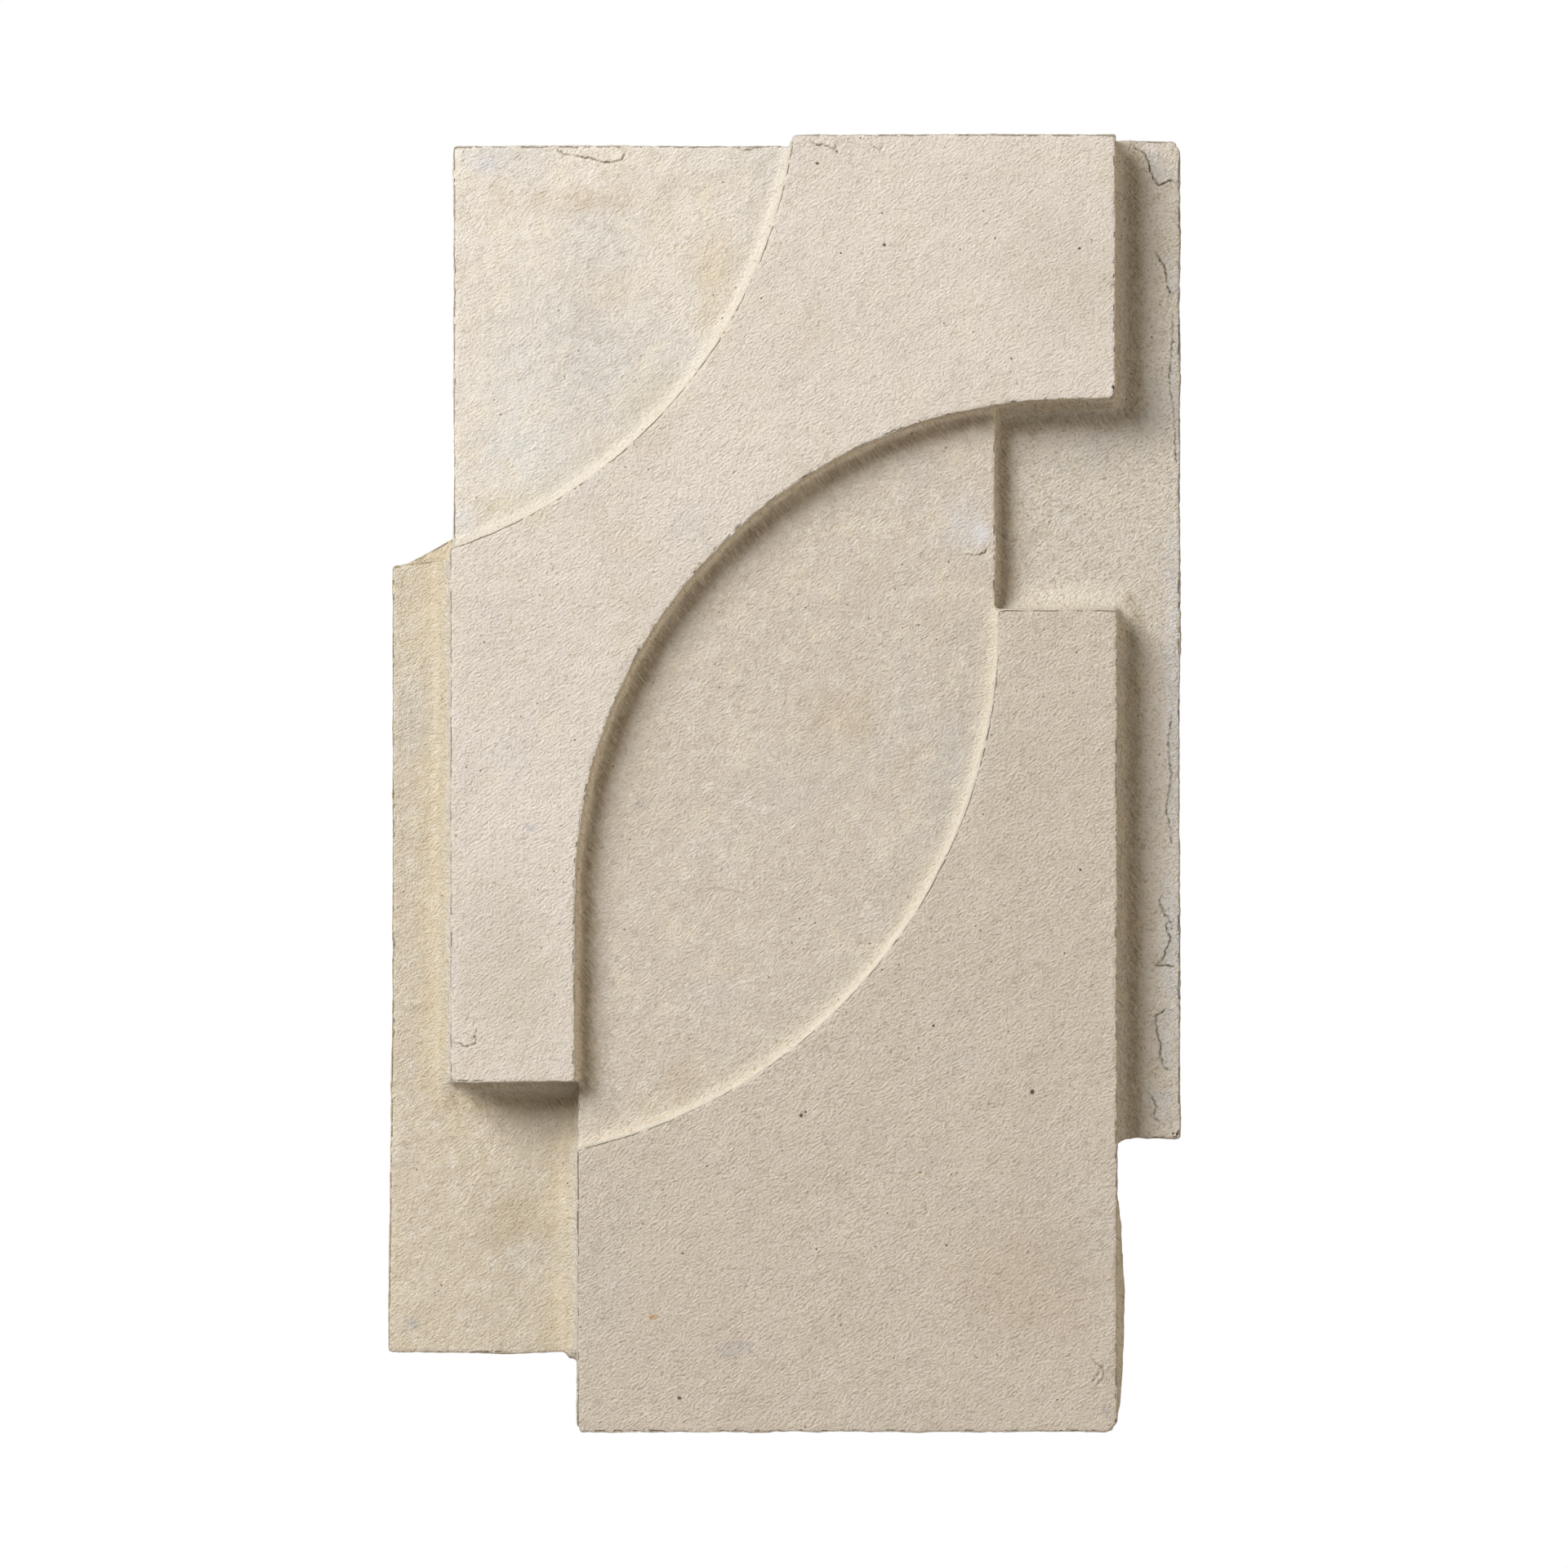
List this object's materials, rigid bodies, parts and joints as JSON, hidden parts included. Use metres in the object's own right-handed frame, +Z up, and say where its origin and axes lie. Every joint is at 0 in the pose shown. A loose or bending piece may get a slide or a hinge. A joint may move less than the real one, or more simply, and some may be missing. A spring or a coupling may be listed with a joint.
{
  "type": "relief wall plaque",
  "caption": "Abstract stepped relief wall plaque in cream paper pulp, with an arch, a lens-shaped field and a quarter-round field.",
  "frame": {"origin": "middle of the flat back, where the plaque meets the wall", "axes": "+X to the viewer's right, +Z up, +Y into the wall, so the relief faces -Y"},
  "size_m": [0.424, 0.041, 0.6893],
  "materials": {
    "pulp": "matt pressed paper pulp, cream, with fine wrinkles and small specks"
  },
  "bodies": {
    "root": {"relief_plaque": "pulp"}
  },
  "joints": []
}
